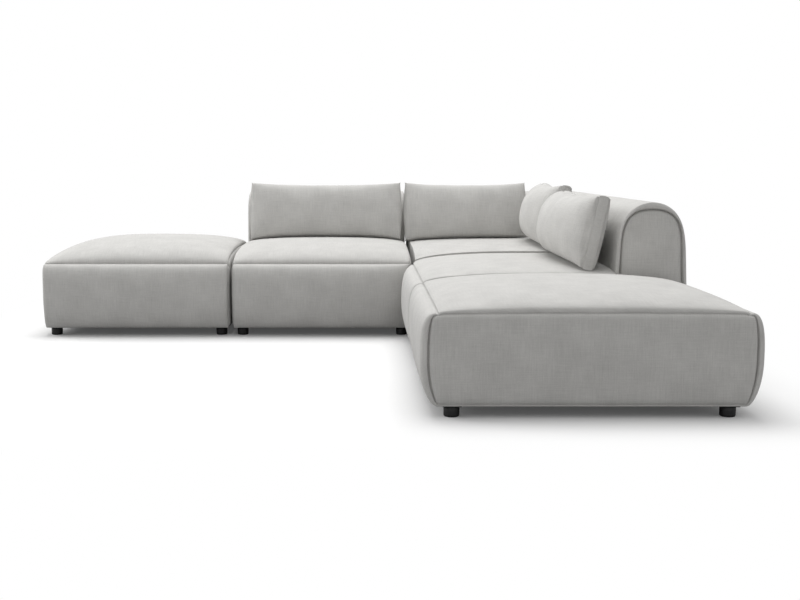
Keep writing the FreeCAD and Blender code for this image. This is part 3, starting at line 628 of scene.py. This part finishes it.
def pucker(points, name):
    """Slight unevenness of cloth over wadding, its own for each name."""
    seed = sum(ord(letter) for letter in name)
    bump = 0.0010 * waves(points, 0.10, seed)
    return points + np.stack([np.zeros(len(points)), bump, bump * 0.4], 1)


# Feet

FOOT_RADIUS = 0.026
FOOT_POINTS = 40
# Radius and height: a small rounding at the floor, a slight taper and a softened top edge
FOOT_PROFILE = ((0.0, 0.0), (0.0215, 0.0), (0.0240, 0.0012), (0.0252, 0.0035), (0.0256, 0.007),
                (0.0259, 0.020), (FOOT_RADIUS, 0.0345), (0.0250, 0.0350), (0.0, 0.0350))


def build_feet(name, node):
    """Round moulded feet with a softened lower edge, one under each corner."""
    low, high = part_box(node)
    angles = np.arange(FOOT_POINTS) * (2 * math.pi / FOOT_POINTS)
    points, faces = [], []
    for x in (low.x + FOOT_RADIUS, high.x - FOOT_RADIUS):
        for y in (low.y + FOOT_RADIUS, high.y - FOOT_RADIUS):
            faces += tube_faces(len(FOOT_PROFILE), FOOT_POINTS, len(points))
            for radius, z in FOOT_PROFILE:
                points += [(x + radius * math.cos(a), y + radius * math.sin(a), z) for a in angles]
    piece = new_piece(name, points, faces)
    weld(piece)
    return piece


# Materials

def new_material(name, roughness):
    material = bpy.data.materials.new(name)
    material.use_nodes = True
    shader = material.node_tree.nodes["Principled BSDF"]
    shader.inputs["Roughness"].default_value = roughness
    return material, material.node_tree, shader


def tint(tree, shader, shade, colour, contrast, span):
    """Base colour from darker to lighter, as a shade runs from one end of span to the other."""
    ramp = tree.nodes.new("ShaderNodeValToRGB")
    ends = zip(ramp.color_ramp.elements, span, (1 - contrast, 1 + contrast))
    for element, place, factor in ends:
        element.position = place
        element.color = (*[min(c * factor, 1.0) for c in colour], 1.0)
    tree.links.new(shade, ramp.inputs["Fac"])
    tree.links.new(ramp.outputs["Color"], shader.inputs["Base Color"])


def emboss(tree, shader, height, strength, distance):
    """Fine relief of threads or grain."""
    raised = tree.nodes.new("ShaderNodeBump")
    raised.inputs["Strength"].default_value = strength
    raised.inputs["Distance"].default_value = distance
    tree.links.new(height, raised.inputs["Height"])
    tree.links.new(raised.outputs["Normal"], shader.inputs["Normal"])


def cloth(name, colour, contrast, bump):
    """Plain woven cloth: slubby threads both ways, slight shade differences and a soft sheen."""
    material, tree, shader = new_material(name, 0.92)
    shader.inputs["Specular IOR Level"].default_value = 0.18
    shader.inputs["Sheen Weight"].default_value = 0.12
    shader.inputs["Sheen Roughness"].default_value = 0.55
    nodes, link = tree.nodes, tree.links.new
    place = nodes.new("ShaderNodeUVMap")
    place.uv_map = "UVMap"

    def streaks(along, across, detail, shift):
        mapping = nodes.new("ShaderNodeMapping")
        mapping.inputs["Scale"].default_value = (across, along, 1.0)
        mapping.inputs["Location"].default_value = (shift, shift * 1.7, 0.0)
        noise = nodes.new("ShaderNodeTexNoise")
        noise.inputs["Scale"].default_value = 1.0
        noise.inputs["Detail"].default_value = detail
        noise.inputs["Roughness"].default_value = 0.6
        link(place.outputs["UV"], mapping.inputs["Vector"])
        link(mapping.outputs["Vector"], noise.inputs["Vector"])
        return noise.outputs["Fac"]

    def mixed(first, second, share):
        mix = nodes.new("ShaderNodeMix")
        mix.data_type = "FLOAT"
        mix.inputs[0].default_value = share
        link(first, mix.inputs[2])
        link(second, mix.inputs[3])
        return mix.outputs[0]

    warp = streaks(14.0, 260.0, 3.0, 2.0)
    weft = streaks(260.0, 14.0, 3.0, 5.0)
    fine_warp = streaks(90.0, 900.0, 2.0, 9.0)
    fine_weft = streaks(900.0, 90.0, 2.0, 11.0)
    slub = mixed(mixed(warp, weft, 0.45), mixed(fine_warp, fine_weft, 0.5), 0.4)
    patches = streaks(9.0, 9.0, 2.0, 17.0)
    tint(tree, shader, mixed(slub, patches, 0.22), colour, contrast, (0.36, 0.64))
    emboss(tree, shader, slub, bump, 0.0012)
    return material


def textured(name, colour, roughness, scale, stretch, contrast, bump, metallic=0.0):
    """Plain material with grain or mottling of its own."""
    material, tree, shader = new_material(name, roughness)
    shader.inputs["Metallic"].default_value = metallic
    nodes, link = tree.nodes, tree.links.new
    place = nodes.new("ShaderNodeTexCoord")
    mapping = nodes.new("ShaderNodeMapping")
    mapping.inputs["Scale"].default_value = stretch
    noise = nodes.new("ShaderNodeTexNoise")
    noise.inputs["Scale"].default_value = scale
    noise.inputs["Detail"].default_value = 4.0
    link(place.outputs["Object"], mapping.inputs["Vector"])
    link(mapping.outputs["Vector"], noise.inputs["Vector"])
    tint(tree, shader, noise.outputs["Fac"], colour, contrast, (0.3, 0.7))
    emboss(tree, shader, noise.outputs["Fac"], bump, 0.0008)
    return material


def paint(piece, material):
    piece.data.materials.clear()
    piece.data.materials.append(material)


EVEN = (1, 1, 1)
GRAIN = (2, 2, 30)
CLOTH = cloth("woven_upholstery", (0.560, 0.553, 0.535), 0.16, 0.6)
BLACK_PLASTIC = textured("black_moulded_plastic", (0.005, 0.005, 0.0055), 0.6, 300, EVEN, 0.3, 0.15)
TIMBER = textured("planed_timber", (0.46, 0.29, 0.15), 0.6, 9, GRAIN, 0.35, 0.3)
WEBBING = textured("elastic_webbing", (0.15, 0.11, 0.07), 0.8, 240, EVEN, 0.4, 0.5)
DUST_CLOTH = textured("black_dust_cloth", (0.016, 0.016, 0.017), 0.95, 500, EVEN, 0.4, 0.6)
STEEL = textured("black_coated_steel", (0.03, 0.03, 0.03), 0.4, 150, EVEN, 0.3, 0.1, 0.6)

# Pieces

PLACES = {
    "pouf_left": Place(SHIFT - SEAT_WIDTH - POUF_WIDTH, SHIFT, False),
    "seat_left": Place(SHIFT - SEAT_WIDTH, SHIFT, False),
    "corner": Place(SHIFT, SHIFT, False),
    "seat_right": Place(SHIFT, SHIFT, True),
    "pouf_right": Place(SHIFT, SHIFT - SEAT_WIDTH, True),
}
# Width, crown above the seam, and rise of the top at the low and the high end
SEATS = {
    "pouf_left": Seat("pouf_left", POUF_WIDTH, 0.104, FREE_RISE, JOINED_RISE),
    "seat_left": Seat("seat_left", SEAT_WIDTH, 0.087, JOINED_RISE, JOINED_RISE, corner_end="high"),
    "seat_right": Seat("seat_right", SEAT_WIDTH, 0.060, JOINED_RISE, RIGHT_SEAT_RISE,
                       corner_end="low"),
    "pouf_right": Seat("pouf_right", POUF_WIDTH, 0.060, RIGHT_POUF_RISE, FREE_RISE),
}
CORNER_SEAT = CornerSeat()
# Ends, level, front fill, module and seat of each cushion
CUSHIONS = (
    LooseCushion("cushion_seat_left", 0.0365, 0.8135, 0.424, 0.062,
                 PLACES["seat_left"].put, SEATS["seat_left"].top),
    LooseCushion("cushion_corner_rear", -0.010, 0.615, 0.424, 0.062,
                 PLACES["corner"].put, lambda x, y: CORNER_SEAT.top(np.maximum(x, END), y)),
    LooseCushion("cushion_corner_side", -0.002, 0.593, 0.424, 0.112,
                 lambda ring: PLACES["corner"].put(swapped(ring)),
                 lambda x, y: CORNER_SEAT.top(y, np.maximum(x, END))),
    LooseCushion("cushion_seat_right", 0.0365, 0.8135, 0.400, 0.118,
                 PLACES["seat_right"].put, SEATS["seat_right"].top, low_power=3.4),
)
# Cushions are softer than seats and backs
FIRM, SOFT = 0.9, 0.75


def finish_padded(piece, body, fill, *nodes):
    """Cloth, body and the solids that a padded piece stands for."""
    paint(piece, CLOTH)
    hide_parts(*nodes)
    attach(piece, body)


def add_feet(name):
    feet = build_feet(f"{name}_moulded_feet", f"{name}_feet")
    paint(feet, BLACK_PLASTIC)
    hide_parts(f"{name}_feet")
    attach(feet, name)


for name, seat in SEATS.items():
    finish_padded(seat.build(PLACES[name]), name, FIRM, f"{name}_cover", f"{name}_foam")
corner = CORNER_SEAT.build(PLACES["corner"])
finish_padded(corner, "corner", FIRM, "corner_cover", "corner_foam")

for name in ("seat_left", "seat_right"):
    back = build_back(f"{name}_back_upholstery", PLACES[name], SEAT_WIDTH)
    finish_padded(back, name, FIRM, f"{name}_back_cover", f"{name}_back_foam")
rear_back = build_back("corner_rear_back_upholstery", PLACES["corner"], DEPTH, mitred=True)
finish_padded(rear_back, "corner", FIRM, "corner_rear_back_cover", "corner_back_foam")
side_back = build_back("corner_side_back_upholstery", PLACES["corner"], DEPTH, mitred=True,
                       mirrored=True)
finish_padded(side_back, "corner", FIRM, "corner_side_back_cover")

for cushion in CUSHIONS:
    finish_padded(cushion.build(), cushion.name, SOFT, f"{cushion.name}_cover",
                  f"{cushion.name}_filling")

for name in PLACES:
    add_feet(name)
    for ending, material in (("frame", TIMBER), ("webbing", WEBBING), ("dust_cover", DUST_CLOTH),
                             ("foot_plates", STEEL), ("connectors", STEEL)):
        paint(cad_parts[f"{name}_{ending}"], material)
for name in ("seat_left", "corner", "seat_right"):
    paint(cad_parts[f"{name}_back_frame"], TIMBER)

# Floor, light and camera

WHITE = (1.0, 1.0, 1.0, 1.0)
FLOOR_REACH = 40.0
# Paleness of the floor where the camera sees it, and for the light that it throws back
FLOOR_SEEN = (0.92, 0.92, 0.92, 1.0)
FLOOR_BOUNCE = (0.42, 0.42, 0.42, 1.0)
# Distance from the middle, along X or Y, over which the seen floor turns plain white
PLAIN_FROM, PLAIN_TO = 1.42, 1.80
LEAST_WHITE = 0.06


def white_ground():
    """Pale floor that keeps the shadow round the sofa and is plain white further out."""
    material, tree, shader = new_material("white_floor", 0.9)
    shader.inputs["Specular IOR Level"].default_value = 0.0
    nodes, link = tree.nodes, tree.links.new
    path = nodes.new("ShaderNodeLightPath")
    tone = nodes.new("ShaderNodeMixRGB")
    tone.inputs["Color1"].default_value = FLOOR_BOUNCE
    tone.inputs["Color2"].default_value = FLOOR_SEEN
    link(path.outputs["Is Camera Ray"], tone.inputs["Fac"])
    link(tone.outputs["Color"], shader.inputs["Base Color"])
    place = nodes.new("ShaderNodeNewGeometry")
    size = nodes.new("ShaderNodeVectorMath")
    size.operation = "ABSOLUTE"
    link(place.outputs["Position"], size.inputs[0])
    parts = nodes.new("ShaderNodeSeparateXYZ")
    link(size.outputs["Vector"], parts.inputs["Vector"])
    distance = nodes.new("ShaderNodeMath")
    distance.operation = "MAXIMUM"
    link(parts.outputs["X"], distance.inputs[0])
    link(parts.outputs["Y"], distance.inputs[1])
    outside = nodes.new("ShaderNodeMapRange")
    outside.interpolation_type = "SMOOTHSTEP"
    outside.inputs["From Min"].default_value = PLAIN_FROM
    outside.inputs["From Max"].default_value = PLAIN_TO
    outside.inputs["To Min"].default_value = LEAST_WHITE
    link(distance.outputs[0], outside.inputs["Value"])
    seen = nodes.new("ShaderNodeMath")
    seen.operation = "MULTIPLY"
    link(path.outputs["Is Camera Ray"], seen.inputs[0])
    link(outside.outputs["Result"], seen.inputs[1])
    glow = nodes.new("ShaderNodeEmission")
    glow.inputs["Color"].default_value = WHITE
    glow.inputs["Strength"].default_value = 1.0
    both = nodes.new("ShaderNodeMixShader")
    link(seen.outputs[0], both.inputs["Fac"])
    link(shader.outputs["BSDF"], both.inputs[1])
    link(glow.outputs["Emission"], both.inputs[2])
    link(both.outputs[0], nodes["Material Output"].inputs["Surface"])
    return material


def studio_world(strength):
    """Even light from all sides, seen as plain white by the camera and in reflections."""
    world = bpy.data.worlds.new("studio")
    bpy.context.scene.world = world
    world.use_nodes = True
    nodes, link = world.node_tree.nodes, world.node_tree.links.new
    sky = nodes["Background"]
    sky.inputs["Color"].default_value = WHITE
    sky.inputs["Strength"].default_value = strength
    white = nodes.new("ShaderNodeBackground")
    white.inputs["Color"].default_value = WHITE
    white.inputs["Strength"].default_value = 1.0
    path = nodes.new("ShaderNodeLightPath")
    direct = nodes.new("ShaderNodeMath")
    direct.operation = "MAXIMUM"
    link(path.outputs["Is Camera Ray"], direct.inputs[0])
    link(path.outputs["Is Glossy Ray"], direct.inputs[1])
    either = nodes.new("ShaderNodeMixShader")
    link(direct.outputs[0], either.inputs["Fac"])
    link(sky.outputs["Background"], either.inputs[1])
    link(white.outputs["Background"], either.inputs[2])
    link(either.outputs[0], nodes["World Output"].inputs["Surface"])


def lamp(name, place, aim, size, power):
    """Square lamp that looks at a point."""
    data = bpy.data.lights.new(name, "AREA")
    data.shape = "RECTANGLE"
    data.size, data.size_y = size, size
    data.energy = power
    item = bpy.data.objects.new(name, data)
    item.location = place
    item.rotation_euler = (Vector(aim) - Vector(place)).to_track_quat("-Z", "Y").to_euler()
    bpy.context.scene.collection.objects.link(item)


def photo_camera():
    """Camera that sees the sofa as the photo does."""
    data = bpy.data.cameras.new("camera")
    data.sensor_width = 36.0
    data.lens = 50.47
    data.shift_x = 0.0497
    camera = bpy.data.objects.new("camera", data)
    camera.location = (0.0977, -4.8647, 0.8073)
    camera.rotation_euler = (math.pi / 2 - 0.122, 0.0, 0.0)
    bpy.context.scene.collection.objects.link(camera)
    bpy.context.scene.camera = camera


floor_corners = [(x * FLOOR_REACH, y * FLOOR_REACH, 0) for x, y in ((-1, -1), (1, -1), (1, 1), (-1, 1))]
floor = new_piece("floor", floor_corners, [(0, 1, 2, 3)])
paint(floor, white_ground())
studio_world(0.58)
LAMP_AIM = (0.0, 0.0, 0.3)
lamp("key_light", (-9.0, 3.2, 5.0), LAMP_AIM, 5.0, 335.0)
lamp("top_light", (0.0, 1.5, 6.5), LAMP_AIM, 5.0, 295.0)
photo_camera()
bpy.context.scene.view_settings.view_transform = "Standard"
